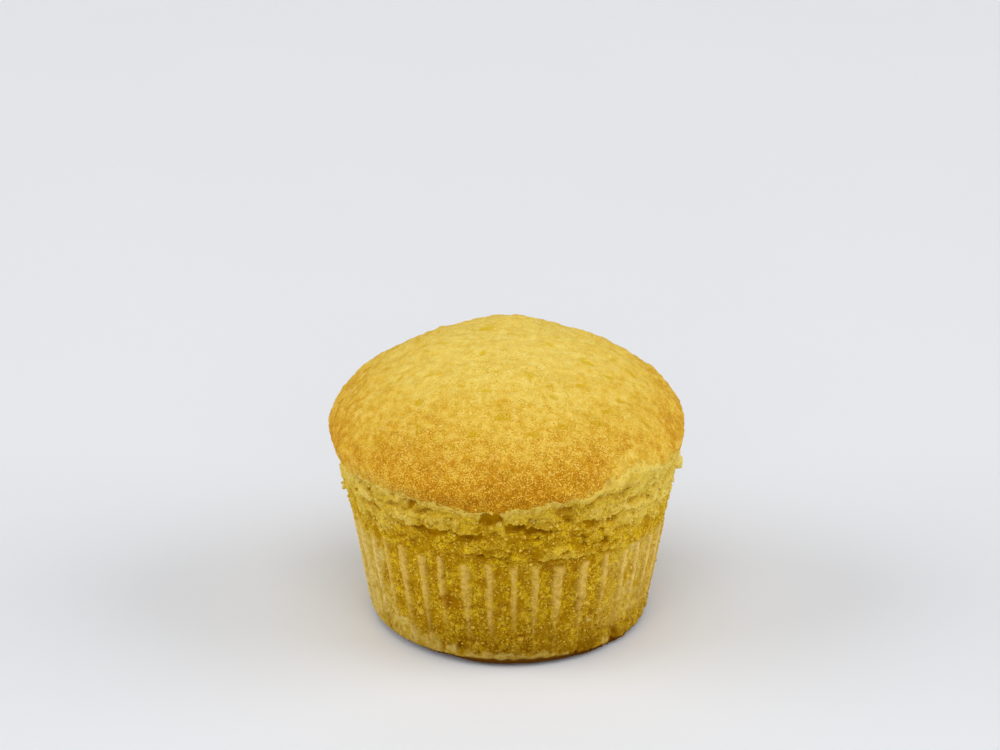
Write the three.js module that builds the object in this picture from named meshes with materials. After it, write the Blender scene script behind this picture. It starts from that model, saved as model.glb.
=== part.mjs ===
import * as THREE from "three";

// Corn muffin, one solid, in millimetres with +Z up, standing on its flat base.
// From the foot up: a fluted skirt moulded by a baking case, a band of torn crumb
// where the batter rose above the case, and a domed crown with an overhanging lip.

// Skirt
const base_radius = 24.4;
const foot_radius = 26.8;
const foot_height = 2.8;
const skirt_top_radius = 30.2;
const skirt_top_height = 22.9;
const skirt_lean = 0.7; // how much higher the skirt ends at -X than at +X

// Flutes pressed into the skirt
const flute_count = 40;
const flute_depth = 0.8;
const flute_phase = 0.018;
const flute_drift = 0.02; // uneven spacing, radians
const ridge_half_width = 0.17; // share of one flute pitch
const valley_half_width = 0.17;

// Torn crumb band
const band_foot_radius = 30.5;
const band_top_radius = 32.3;
const band_roughness = 0.45;
const lip_height = 35.6;
const lip_wander = 0.6; // how far the lip rises and falls around the muffin

// Crown
const lip_radius = 32.7;
const crown_radius = 33.9;
const crown_widest_height = 38.9;
const crown_top_height = 55.4;
const crown_fullness = 2.1;
const crown_roundness = 1.42;
const crown_offset_x = -0.5;
const crown_wander = 0.3;

// Low mound beside the top of the crown
const mound_x = 0.4;
const mound_y = 13.5;
const mound_radius = 5.4;
const mound_height = 1.2;

const columns = flute_count * 4;

function columnAngle(index) {
  // Four corners to each flute: two edges of the ridge, two edges of the valley.
  const flute = Math.floor(index / 4);
  const corner = index % 4;
  const share = [
    -ridge_half_width,
    ridge_half_width,
    0.5 - valley_half_width,
    0.5 + valley_half_width,
  ][corner];
  const even = ((flute + share) * 2 * Math.PI) / flute_count + flute_phase;
  return even + flute_drift * Math.sin(5 * even + 0.6) * Math.cos(2 * even);
}

function isRidge(index) {
  return index % 4 < 2;
}

function lipRise(angle) {
  const swell = Math.sin(angle - 0.5) + 0.6 * Math.sin(3 * angle + 1.2);
  return lip_wander * (swell + 0.4 * Math.sin(8 * angle));
}

function crownWander(angle) {
  return crown_wander * (Math.sin(2 * angle - 1.2) + 0.5 * Math.sin(5 * angle));
}

function crumbWander(angle, height) {
  const coarse = Math.sin(7 * angle + 0.55 * height);
  const fine = Math.sin(17 * angle - 0.9 * height + 1.3);
  return band_roughness * (0.7 * coarse + 0.5 * fine);
}

function moundRise(x, y) {
  const away = Math.hypot(x - mound_x, y - mound_y) / mound_radius;
  return mound_height * Math.exp(-away * away);
}

function skirtRadius(height) {
  const share = (height - foot_height) / (skirt_top_height - foot_height);
  return foot_radius + (skirt_top_radius - foot_radius) * share;
}

function skirtPoint(index, share, depth) {
  const angle = columnAngle(index);
  const top = skirt_top_height - skirt_lean * Math.cos(angle);
  const height = foot_height + (top - foot_height) * share;
  const cut = isRidge(index) ? 0 : depth * flute_depth;
  const radius = skirtRadius(height) - cut;
  return [radius * Math.cos(angle), radius * Math.sin(angle), height];
}

function bandPoint(index, share, sink) {
  const angle = columnAngle(index);
  const bottom = skirt_top_height - skirt_lean * Math.cos(angle);
  const top = lip_height + lipRise(angle);
  const height = bottom + (top - bottom) * share;
  const wall = band_foot_radius + (band_top_radius - band_foot_radius) * share;
  const rough = crumbWander(angle, height) * Math.sin(Math.PI * share);
  const radius = wall + rough - sink;
  const x = radius * Math.cos(angle) + crown_offset_x * Math.sqrt(share);
  return [x, radius * Math.sin(angle), height];
}

function crownPoint(index, spread, height) {
  const angle = columnAngle(index);
  const radius = spread + crownWander(angle) * (spread / crown_radius);
  const x = radius * Math.cos(angle) + crown_offset_x;
  const y = radius * Math.sin(angle);
  const below = (crown_top_height - height) / (crown_top_height - lip_height);
  return [x, y, height + lipRise(angle) * below * below + moundRise(x, y)];
}

function domeHeight(spread) {
  const share = 1 - Math.pow(spread / crown_radius, crown_fullness);
  const dome = crown_top_height - crown_widest_height;
  return crown_widest_height + dome * Math.pow(share, 1 / crown_roundness);
}

function ring(count, place) {
  const step = columns / count;
  return Array.from({ length: count }, (unused, index) => place(index * step));
}

function skirtRings() {
  const rings = [];
  const shares = [0, 0.25, 0.5, 0.75, 0.95];
  const depths = [0.55, 0.9, 1, 1, 1];
  for (let row = 0; row < shares.length; row += 1) {
    rings.push(ring(columns, (i) => skirtPoint(i, shares[row], depths[row])));
  }
  return rings;
}

function bandRings() {
  const shares = [0.03, 0.2, 0.38, 0.56, 0.74, 0.88];
  const sinks = [0.25, 0.35, 0.4, 0.35, 0.25, 0.2];
  return shares.map((share, row) =>
    ring(columns, (i) => bandPoint(i, share, sinks[row])),
  );
}

function lipRings() {
  const shoulder = lip_radius + (crown_radius - lip_radius) * 0.72;
  return [
    ring(columns, (i) => crownPoint(i, lip_radius, lip_height)),
    ring(columns, (i) => crownPoint(i, shoulder, lip_height + 1.5)),
  ];
}

function domeRings() {
  const plan = [
    [1, columns],
    [0.985, columns],
    [0.95, columns],
    [0.9, columns],
    [0.84, columns],
    [0.77, columns],
    [0.69, columns],
    [0.6, columns / 2],
    [0.5, columns / 2],
    [0.4, columns / 2],
    [0.3, columns / 4],
    [0.2, columns / 4],
    [0.1, columns / 8],
  ];
  return plan.map(([share, count]) => {
    const spread = crown_radius * share;
    return ring(count, (i) => crownPoint(i, spread, domeHeight(spread)));
  });
}

function baseRings() {
  const flat = (radius) => (index) => {
    const angle = columnAngle(index);
    return [radius * Math.cos(angle), radius * Math.sin(angle), 0];
  };
  const corner = (radius, height) => (index) => {
    const angle = columnAngle(index);
    const cut = isRidge(index) ? 0 : 0.3 * flute_depth * (height / foot_height);
    const reach = radius - cut;
    return [reach * Math.cos(angle), reach * Math.sin(angle), height];
  };
  return [
    ring(columns / 4, flat(base_radius * 0.4)),
    ring(columns / 2, flat(base_radius * 0.75)),
    ring(columns, flat(base_radius)),
    ring(columns, corner(base_radius + 1.25, 0.45)),
    ring(columns, corner(base_radius + 2.0, 1.35)),
  ];
}

function closedSolid(rings, bottom, top) {
  // Joins each ring to the next, where one ring may have half as many corners.
  const points = [bottom];
  const starts = [];
  for (const row of rings) {
    starts.push(points.length);
    points.push(...row);
  }
  points.push(top);
  const faces = [];
  const first = rings[0].length;
  for (let i = 0; i < first; i += 1) {
    faces.push(0, starts[0] + ((i + 1) % first), starts[0] + i);
  }
  for (let row = 0; row + 1 < rings.length; row += 1) {
    const low = rings[row].length;
    const high = rings[row + 1].length;
    const a = (i) => starts[row] + (i % low);
    const b = (i) => starts[row + 1] + (i % high);
    for (let i = 0; i < Math.min(low, high); i += 1) {
      if (low === high) {
        faces.push(a(i), a(i + 1), b(i + 1));
        faces.push(a(i), b(i + 1), b(i));
      } else if (low > high) {
        faces.push(a(2 * i), a(2 * i + 1), b(i));
        faces.push(a(2 * i + 1), b(i + 1), b(i));
        faces.push(a(2 * i + 1), a(2 * i + 2), b(i + 1));
      } else {
        faces.push(a(i), b(2 * i + 1), b(2 * i));
        faces.push(a(i), a(i + 1), b(2 * i + 1));
        faces.push(a(i + 1), b(2 * i + 2), b(2 * i + 1));
      }
    }
  }
  const last = rings[rings.length - 1].length;
  const start = starts[starts.length - 1];
  for (let i = 0; i < last; i += 1) {
    faces.push(start + i, start + ((i + 1) % last), points.length - 1);
  }
  const geometry = new THREE.BufferGeometry();
  geometry.setAttribute(
    "position",
    new THREE.Float32BufferAttribute(points.flat(), 3),
  );
  geometry.setIndex(faces);
  return geometry;
}

const rings = [
  ...baseRings(),
  ...skirtRings(),
  ...bandRings(),
  ...lipRings(),
  ...domeRings(),
];
const geometry = closedSolid(
  rings,
  [0, 0, 0],
  [crown_offset_x, 0, crown_top_height],
);

// Stand it centred on the origin.
geometry.computeBoundingBox();
const middle = geometry.boundingBox.getCenter(new THREE.Vector3());
geometry.translate(-middle.x, -middle.y, 0);
geometry.computeVertexNormals();

// Baked corn crumb
const baked = new THREE.MeshStandardMaterial({
  color: 0xd8a83c,
  roughness: 0.88,
  metalness: 0,
});

const muffin = new THREE.Mesh(geometry, baked);
muffin.name = "muffin";

const group = new THREE.Group();
group.name = "corn_muffin";
group.add(muffin);

export default group;
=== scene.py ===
import itertools
import math

import bpy
import numpy as np
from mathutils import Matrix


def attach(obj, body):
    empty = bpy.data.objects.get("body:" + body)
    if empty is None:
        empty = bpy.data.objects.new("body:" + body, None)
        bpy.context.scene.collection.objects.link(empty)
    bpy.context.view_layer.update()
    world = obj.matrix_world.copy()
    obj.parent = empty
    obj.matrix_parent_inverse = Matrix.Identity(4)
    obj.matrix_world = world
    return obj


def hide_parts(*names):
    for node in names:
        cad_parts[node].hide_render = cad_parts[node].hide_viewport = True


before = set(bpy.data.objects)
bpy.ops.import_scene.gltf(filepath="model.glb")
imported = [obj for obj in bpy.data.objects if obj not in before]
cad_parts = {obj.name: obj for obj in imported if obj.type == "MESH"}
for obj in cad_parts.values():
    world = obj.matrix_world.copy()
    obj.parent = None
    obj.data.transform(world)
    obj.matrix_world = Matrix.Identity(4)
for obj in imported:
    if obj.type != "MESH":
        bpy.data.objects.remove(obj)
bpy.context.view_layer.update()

# A corn muffin, peeled from its paper case. Unless a comment says otherwise, lengths are in
# millimetres, `turn` is in degrees from the front (-Y) towards +X, and `angle` is in radians from +X.

MM = 0.001

# ---- sizes

# Where the flat base of the CAD solid has its middle
solid = [vertex.co for vertex in bpy.data.objects["muffin"].data.vertices]
solid = np.array(solid, dtype=np.float32) / MM
on_base = solid[solid[:, 2] < 0.1]
AXIS_X, AXIS_Y = (on_base[:, :2].min(axis=0) + on_base[:, :2].max(axis=0)) / 2

# Outline: the foot's quarter ellipse, the wall through these heights and radii, and the dome, a
# superellipse with the powers fullness and roundness
BASE_RADIUS = 24.4
FOOT_RADIUS = 26.6
FOOT_HEIGHT = 2.8
WALL = (
    (2.8, 26.6), (22.9, 30.0), (28.0, 31.2), (33.0, 32.2), (35.0, 32.5), (37.0, 33.4), (38.9, 33.8),
)
CROWN_RADIUS = 33.8
WIDEST_HEIGHT = 38.9
CROWN_TOP = 55.4
CROWN_FULLNESS = 2.1
CROWN_ROUNDNESS = 1.42
CROWN_SHIFT_X = -0.5
CROWN_WANDER = 0.3
LIP_LEVEL = 35.6
LIP_WANDER = 0.6
# A low mound on the crown: x, y, radius and height
MOUND = (0.6, 13.5, 5.4, 1.2)

# Skirt, moulded by the case. The phase is the turn of the ridge that an even pitch puts at the front,
# and the front ridges are drawn from there to turns of their own.
SKIRT_TOP = 22.9
SKIRT_LEAN = 1.0
FLUTES = 40
RIDGE_PHASE = 1
FRONT_RIDGES = (-58.5, -50.5, -42, -33, -25.5, -16, -7.3, 1.7, 9.3, 17.6, 27.8, 37, 46.4, 53.8, 62.7)
RIDGE_RISE = 0.28
VALLEY_DROP = 0.24
RIDGE_HALF_WIDTH = 0.74
FOOT_LIFT = 0.3
LEFT_FOOT_LIFT = 0.5

# Radii at which turns are counted as lengths round the muffin
MARK_RADIUS = 28
FLUTE_RADIUS = 28.5
BAND_RADIUS = 32

# Where the pieces meet
LOWER_SEAM = 24.4
UPPER_SEAM = 34.4
SHOULDER_HEIGHT = 43.5

# Clinging crumbs: how many places are tried, and between which heights
CRUMB_TRIES = 12000
CRUMBS_FROM = 3.0
CRUMBS_TO = 38.0

# Mesh fineness
COLUMNS = 960
DOME_CELLS = COLUMNS // 4
SHOULDER_ROWS = 42
BAND_ROWS = 80
SKIRT_ROWS = 84
FOOT_ROWS = 12
CRUMB_COLUMNS = 6
CRUMB_RINGS = 3

# The camera's place from the axis and the floor, in metres, how far it looks down, and its lens
CAMERA_PLACE = (-0.00175, -0.6377, 0.3241)
CAMERA_TILT = 0.408
CAMERA_LENS = 132.8

# Lights: name, kind, strength, place in metres, own settings. All are soft and wide, as from a pale
# ceiling and pale walls, and shine at the middle of the muffin.
LIT_POINT = (0, 0, 0.03)
LIGHTS = (
    ("overhead", "AREA", 5.0, (0, -0.43, 1.44), {"shape": "DISK", "size": 1.2}),
    ("left_box", "SUN", 1.2, (-1, -0.1, 0.55), {"angle": math.radians(45)}),
    ("right_box", "SUN", 1.3, (1, -0.1, 0.55), {"angle": math.radians(45)}),
    ("front_box", "SUN", 0.72, (0, -1, 0.7), {"angle": math.radians(60)}),
)


# ---- noise

# Each pattern has a seed of its own, so that no two are alike, and comes out the same each time.


def mix_bits(x, y, z, seed):
    """A pseudo-random whole number for each lattice point: primes times the coordinates, shifted and
    multiplied until every bit depends on all of them."""
    h = x.astype(np.uint32) * np.uint32(374761393)
    h += y.astype(np.uint32) * np.uint32(668265263)
    h += z.astype(np.uint32) * np.uint32(3266489917)
    h += np.uint32((seed * 974634777 + 12345) % 2**32)
    for shift, factor in ((15, 2246822519), (13, 3266489917), (16, 668265263)):
        h ^= h >> np.uint32(shift)
        h *= np.uint32(factor)
    return h ^ (h >> np.uint32(15))


def share_of(bits, start):
    """Ten of the bits as a number from 0 to 1."""
    return ((bits >> np.uint32(start)) & np.uint32(1023)).astype(np.float32) / 1023


def nothing(points):
    """Zero for each point."""
    return np.zeros(len(points), dtype=np.float32)


def lattice(scaled):
    """The lower corner of the cell that each point lies in, and its place inside, 0 to 1."""
    cell = np.floor(scaled)
    return cell.astype(np.int64), (scaled - cell).astype(np.float32)


def swell(points, size, seed, stretch=(1, 1, 1)):
    """Smooth lumps about `size` across, from about -1 to 1: a random slope at each corner of a
    lattice, blended by the quintic fade 6t^5 - 15t^4 + 10t^3."""
    cell, inside = lattice(points * np.float32(stretch) / np.float32(size))
    fade = inside**3 * (inside * (inside * 6 - 15) + 10)
    total = nothing(points)
    for corner in itertools.product((0, 1), repeat=3):
        bits = mix_bits(*(cell[:, k] + corner[k] for k in range(3)), seed)
        value = nothing(points)
        weight = np.ones(len(points), dtype=np.float32)
        for k in range(3):
            value += (share_of(bits, 10 * k) * 2 - 1) * (inside[:, k] - corner[k])
            weight *= fade[:, k] if corner[k] else 1 - fade[:, k]
        total += value * weight
    return total * 1.6


def nearest_seed(points, size, seed):
    """How far each point is, in cells, from the nearest of the seeds scattered one to a lattice cell,
    and two random numbers of that seed."""
    cell, inside = lattice(points / np.float32(size))
    least = np.full(len(points), 9, dtype=np.float32)
    nearest = np.zeros(len(points), dtype=np.uint32)
    for corner in itertools.product((-1, 0, 1), repeat=3):
        bits = mix_bits(*(cell[:, k] + corner[k] for k in range(3)), seed)
        away = nothing(points)
        for k in range(3):
            away += (corner[k] + share_of(bits, 10 * k) - inside[:, k]) ** 2
        away = np.sqrt(away)
        nearest = np.where(away < least, bits, nearest)
        least = np.minimum(least, away)
    more = mix_bits(nearest, nearest, nearest, seed + 7)
    return least, share_of(more, 0), share_of(more, 12)


def ease(low, high, value):
    """0 below low, 1 above high, and 3t^2 - 2t^3 between."""
    t = np.clip((value - low) / (high - low), 0, 1)
    return t * t * (3 - 2 * t)


def bubbles(points, size, seed, chance, small, large):
    """Round pores: some seeds, as many as `chance` says, are middles of balls of radius `small` to
    `large`, and the depth is half the ball's chord there."""
    away, pick, girth = nearest_seed(points, size, seed)
    radius = (small + (large - small) * girth) * (pick < chance)
    return np.sqrt(np.clip(radius**2 - (away * size) ** 2, 0, None))


def pebbles(points, size, seed):
    """Rounded lumps with creases between: one minus the squared distance to the nearest seed, less for
    some lumps than for others."""
    away, own, _ = nearest_seed(points, size, seed)
    return (1 - np.clip(away, 0, 1.1) ** 2) * (0.65 + 0.35 * own) - 0.55


# ---- outline


def make_outline():
    """Length along the outline, radius and height from the bottom edge of the foot to the top, and
    the outward direction there. The wall's corners are rounded by a running mean."""
    sweep = np.linspace(0, math.pi / 2, 60)
    foot_out = BASE_RADIUS + (FOOT_RADIUS - BASE_RADIUS) * np.sin(sweep)
    foot_up = FOOT_HEIGHT * (1 - np.cos(sweep))
    wall_up = np.linspace(FOOT_HEIGHT, WIDEST_HEIGHT, 800)
    levels, radii = zip(*WALL)
    wall_out = np.interp(wall_up, levels, radii)
    window = 41
    padded = np.pad(wall_out, window // 2, mode="reflect", reflect_type="odd")
    wall_out = np.convolve(padded, np.ones(window) / window, mode="valid")
    sweep = np.linspace(math.pi / 2, 0, 500)
    dome_out = CROWN_RADIUS * (np.sin(sweep) ** 2) ** (1 / CROWN_FULLNESS)
    dome_up = (np.cos(sweep) ** 2) ** (1 / CROWN_ROUNDNESS)
    dome_up = WIDEST_HEIGHT + (CROWN_TOP - WIDEST_HEIGHT) * dome_up
    out = np.concatenate([foot_out, wall_out[1:], dome_out[1:]])
    up = np.concatenate([foot_up, wall_up[1:], dome_up[1:]])
    step = np.hypot(np.diff(out), np.diff(up))
    length = np.concatenate([[0], np.cumsum(step)])
    run_out = np.gradient(out, length)
    run_up = np.gradient(up, length)
    steep = np.hypot(run_out, run_up)
    return length, out, up, run_up / steep, -run_out / steep


ARC, ARC_OUT, ARC_UP, NORMAL_OUT, NORMAL_UP = make_outline()
ARC_END = ARC[-1]


def along_at(height):
    """Length along the outline at a height."""
    return np.interp(height, ARC_UP, ARC)


def from_front(angle):
    """The turn in degrees from the front, -180 to 180, of an angle in radians from +X."""
    return (np.degrees(angle) + 270) % 360 - 180


def degrees_apart(turn, other):
    """How far a turn lies past another one, -180 to 180."""
    return (turn - other + 180) % 360 - 180


def round_from(turn, other, radius):
    """How far a turn lies past another one as a length at that radius."""
    return degrees_apart(turn, other) * math.radians(radius)


def below_top(height):
    """0 at the top of the crown, 1 at the lip and below."""
    return np.clip((CROWN_TOP - height) / (CROWN_TOP - LIP_LEVEL), 0, 1)


def plain_surface(angle, along):
    """The smooth muffin: the outline turned round the axis, with the crown's slow waves, shift to one
    side and mound. Returns points, outward directions and heights along the outline."""
    out = np.interp(along, ARC, ARC_OUT)
    height = np.interp(along, ARC, ARC_UP)
    crown = ease(24, 37, height)
    share = out / CROWN_RADIUS
    out = out + crown * CROWN_WANDER * share * (np.sin(2 * angle - 1.2) + 0.5 * np.sin(5 * angle))
    wave = np.sin(angle - 0.5) + 0.6 * np.sin(3 * angle + 1.2) + 0.4 * np.sin(8 * angle)
    x = out * np.cos(angle)
    y = out * np.sin(angle)
    mound_x, mound_y, mound_radius, mound_height = MOUND
    mound = np.hypot(x - mound_x, y - mound_y) / mound_radius
    rise = LIP_WANDER * wave * crown * below_top(height) ** 2 + mound_height * np.exp(-(mound**2))
    x = x + AXIS_X + CROWN_SHIFT_X * crown
    points = np.stack([x, y + AXIS_Y, height + rise], axis=1).astype(np.float32)
    flat = np.interp(along, ARC, NORMAL_OUT)
    lift = np.interp(along, ARC, NORMAL_UP)
    outward = np.stack([flat * np.cos(angle), flat * np.sin(angle), lift], axis=1).astype(np.float32)
    return points, outward, height


# ---- skirt

# Browned spots and dug marks on the skirt: turn, height, half width, half height, how amber, depth
MARKS = (
    (-22.5, 13.6, 2.7, 2.1, 0.8, 0.1),
    (-53, 15.0, 0.9, 1.7, 0.8, 0.1),
    (-58.5, 3.4, 0.45, 3.4, 0.35, 0.4),
    (-28, 3.2, 0.6, 2.2, 0.3, 0.5),
    (-20.5, 3.4, 0.8, 2.2, 0.3, 0.6),
    (47.5, 2.6, 1.8, 2.0, 0.5, 0.8),
    (120, 11.0, 1.6, 1.2, 0.7, 0.1),
    (-140, 8.0, 1.0, 1.8, 0.6, 0.2),
)


def marks(points, turn, height):
    """Frayed oval marks: how amber each point is, and how far it is dug in."""
    fray = 0.45 * swell(points, 1.7, 71) + 0.25 * swell(points, 0.6, 72)
    amber = nothing(points)
    dug = nothing(points)
    for middle, level, half_width, half_height, tone, deep in MARKS:
        across = round_from(turn, middle, MARK_RADIUS) / half_width
        away = np.hypot(across, (height - level) / half_height) + fray
        here = ease(1.25, 0.4, away)
        amber = np.maximum(amber, tone * here)
        dug = np.maximum(dug, deep * here)
    return amber, dug


def ridge_top(angle):
    """The height where the ridges end, lower towards +X."""
    return SKIRT_TOP - SKIRT_LEAN * np.cos(angle)


def flute_ridges(points, turn, angle, height):
    """How much of a ridge is at each point, 0 to 1: a plateau with frayed flanks round each flute's
    middle, cut off unevenly above and running out into the foot. The ridges stand an even pitch
    apart, but those at the front are drawn to their own places."""
    pitch = 360 / FLUTES
    even = [pitch * (k - len(FRONT_RIDGES) // 2) + RIDGE_PHASE for k in range(len(FRONT_RIDGES))]
    drawn = [place - plain for place, plain in zip(FRONT_RIDGES, even)]
    off_pitch = turn - np.interp(turn, (-90, *FRONT_RIDGES, 90), (0, *drawn, 0)) - RIDGE_PHASE
    number = np.round(off_pitch / pitch)
    whole = (number % FLUTES).astype(np.int64)
    bits = mix_bits(whole, whole * 3, whole * 0, 41)
    sway = 0.12 * swell(points, 5.0, 42)
    off = round_from(off_pitch, number * pitch, FLUTE_RADIUS)
    width = RIDGE_HALF_WIDTH * (0.75 + 0.5 * share_of(bits, 10)) * (0.55 + 0.45 * ease(3, 20, height))
    width = width + 0.22 * swell(points, 1.6, 43) + 0.22 * swell(points, 0.6, 44)
    cover = 0.75 * swell(points, 2.4, 46) + 0.6 * swell(points, 0.8, 47)
    width = width - 0.6 * ease(0.25, 0.8, cover + 0.45 * ease(14, 3, height))
    plateau = ease(width + 0.5, width - 0.5, np.abs(off + sway))
    top = ridge_top(angle) + (share_of(bits, 20) - 0.5) * 0.9 + 0.25 * swell(points, 0.7, 45)
    fade = 1 - 0.6 * ease(15, 4, height + 5 * cover) * ease(-50, -35, turn) * ease(75, 60, turn)
    return plateau * fade * ease(top + 0.2, top - 0.2, height) * ease(0.5, 2.6, height)


def kept_skin(points, turn, height):
    """Where the skin stayed on between the ridges, 0 to 1: on the left, along the foot up to a line
    that falls towards the right but for one flap, in patches round the back, and as a thin veil on
    the right."""
    left = ease(-46, -62, turn) * ease(-150, -120, turn)
    foot_turns = (-75, -55, -40, -28, -18, 0, 24, 30, 39, 41, 45, 46)
    foot_line = np.interp(turn, foot_turns, (8, 8.5, 6.6, 4.9, 3.4, 3.2, 3.0, 0.5, 0.5, 4.2, 4.2, 0.5))
    front = ease(-22, -15, turn) * ease(26, 18, turn)
    foot = 0.66 + 0.2 * front * ease(3.8, 3.2, height) + 0.12 * ease(-30, -45, turn)
    foot = foot * ease(foot_line + 1.5, foot_line - 1.5, height + 0.8 * swell(points, 4.0, 11))
    patch = ease(0.15, 0.4, swell(points, 9.0, 12, (1, 1, 0.6))) * ease(90, 115, np.abs(turn))
    fray = 0.45 * swell(points, 2.0, 13) + 0.3 * swell(points, 0.7, 14)
    cover = np.maximum(np.maximum(left, foot), patch) * ease(SKIRT_TOP + 0.6, SKIRT_TOP - 2.5, height)
    cover = ease(0.3, 0.7, cover + fray * (cover < 1))
    veil = 0.62 * ease(30, 50, turn) * ease(98, 80, turn) * ease(2, 9, height)
    return np.maximum(cover, veil * (1 + 0.4 * swell(points, 2.2, 15)))


# ---- torn band

# Torn layers that stand out over what lies below them: turn and height at one end, the same at the
# other end, and how far the edge stands out
LEDGES = (
    (-44, 30.6, -8, 30.4, 1.2), (-1, 32.7, 16, 30.8, 0.9), (8, 25.0, 38, 23.8, 0.9),
    (-24, 25.6, 0, 25.2, 0.6), (16, 32.6, 44, 31.2, 0.6), (-78, 31.8, -46, 32.6, 0.6),
    (-70, 27.3, -38, 27.0, 0.5), (-14, 27.6, 10, 27.4, 0.5), (40, 28.4, 78, 29.2, 0.5),
    (84, 32.8, 118, 31.6, 0.9), (104, 27.6, 150, 28.6, 0.7), (134, 33.4, 176, 32.2, 0.9),
    (-176, 29.4, -128, 30.4, 0.9), (-140, 33.2, -96, 32.6, 0.8), (-118, 27.4, -84, 26.8, 0.6),
)

# Holes under the lip and between the layers: turn, height, half width, half height, depth
HOLES = (
    (-5.4, 33.9, 2.4, 1.15, 1.1), (-33, 34.5, 0.8, 0.8, 0.9), (2.5, 32.0, 2.2, 0.95, 1.3),
    (8, 31.2, 2.2, 0.8, 1.2), (13, 30.8, 1.2, 0.5, 0.9), (-27, 29.7, 4.2, 0.9, 1.0),
    (-13, 29.6, 2.8, 0.9, 1.0), (-10, 25.2, 0.9, 0.4, 1.2), (20, 32.9, 1.2, 0.7, 0.8),
    (28, 31.2, 1.8, 0.8, 0.8), (37, 31.0, 1.3, 0.9, 0.9), (26, 28.6, 1.3, 0.6, 0.7),
    (45, 33.6, 2.4, 0.7, 0.7), (42, 36.3, 0.7, 0.5, 0.7), (82, 35.3, 2.4, 0.55, 1.3),
    (-52, 34.3, 0.4, 0.35, 0.8), (-50, 30.5, 1.3, 0.5, 0.7), (-62, 31.5, 0.9, 0.6, 0.7),
    (95, 33.0, 2.2, 0.8, 1.4), (128, 30.5, 2.4, 0.6, 1.2), (160, 33.2, 1.4, 0.9, 1.6),
    (-165, 30.6, 2.8, 0.7, 1.3), (-130, 33.0, 1.8, 0.8, 1.5), (-100, 29.5, 2.0, 0.6, 1.1),
)

# Height of the crust's torn lower edge by turn
CRUST_EDGE = (
    (-180, 36.4), (-150, 37.6), (-122, 35.8), (-96, 37.0), (-66, 35.0), (-54, 36.5), (-45, 37.0),
    (-35, 36.5), (-18, 36.6), (-6, 35.3), (0, 35.8), (14, 37.4), (28, 38.0), (36, 39.6), (43, 40.8),
    (50, 40.4), (60, 38.0), (76, 36.8), (105, 36.0), (128, 38.4), (150, 36.2), (180, 36.4),
)


def crust_cover(points, turn, height):
    """How much crust is at each point, 0 to 1, and how far above its torn edge the point lies."""
    turns, levels = zip(*CRUST_EDGE)
    edge = np.interp(turn, turns, levels)
    fray = 0.9 * swell(points, 3.0, 91) + 0.7 * swell(points, 1.3, 92) + 0.4 * swell(points, 0.6, 93)
    above = height - edge + fray
    return ease(-0.3, 0.3, above), above


def ledges(points, turn, height):
    """Torn layers: above its wandering line a layer stands out, falling back as it rises, and below
    the line the surface is hollowed. Returns the offset and the curl of the edges."""
    wander = 0.6 * swell(points, 4.0, 51, (1, 1, 0.25)) + 0.45 * swell(points, 1.6, 52, (1, 1, 0.25))
    wander += 0.22 * swell(points, 0.8, 54, (1, 1, 0.25))
    offset = nothing(points)
    curl = nothing(points)
    for first_turn, first_level, last_turn, last_level, reach in LEDGES:
        line = np.interp(turn, (first_turn, last_turn), (first_level, last_level)) + wander
        ends = ease(first_turn - 3, first_turn + 4, turn) * ease(last_turn + 3, last_turn - 4, turn)
        gap = height - line
        over = 0.5 * np.exp(-np.clip(gap, 0, None) / 2.6)
        under = -0.7 * np.exp(np.clip(gap, None, 0) / 1.5)
        side = ease(-0.25, 0.2, gap)
        offset += reach * ends * (over * side + under * (1 - side))
        curl += reach * ends * side * np.exp(-((np.clip(gap, 0, None) / 0.7) ** 2))
    return offset, curl


def holes(points, turn, height):
    """Frayed oval holes, steeper along the top than along the bottom."""
    fray = 0.3 * swell(points, 1.6, 21) + 0.25 * swell(points, 0.7, 22)
    depth = nothing(points)
    for middle, level, half_width, half_height, deep in HOLES:
        across = round_from(turn, middle, BAND_RADIUS) / half_width
        up = (height - level) / half_height
        up = np.where(up > 0, up, up / 1.5)
        depth = np.maximum(depth, deep * ease(1.1, 0.6, np.hypot(across, up) + fray))
    return depth


# Crumbs that stand out of the torn band: turn, height, half width, rise
KNOBS = (
    (83, 32.4, 1.5, 1.3), (-83, 27.6, 1.1, 0.9), (-4.5, 36.2, 1.2, 0.5),
    (-64, 33.4, 1.3, 0.6), (112, 31.0, 1.6, 0.8), (165, 28.6, 1.3, 0.8),
    (-150, 32.4, 1.5, 0.9), (-112, 30.6, 1.2, 0.7),
)


def knobs(points, turn, height):
    """Jagged lumps: a plateau round each middle, with steep and frayed flanks."""
    fray = 0.45 * swell(points, 1.3, 26) + 0.35 * swell(points, 0.6, 27)
    rise = nothing(points)
    for middle, level, half_width, high in KNOBS:
        across = round_from(turn, middle, BAND_RADIUS)
        away = np.hypot(across, height - level) / half_width + fray
        rise = np.maximum(rise, high * ease(1.05, 0.45, away))
    return rise


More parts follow.
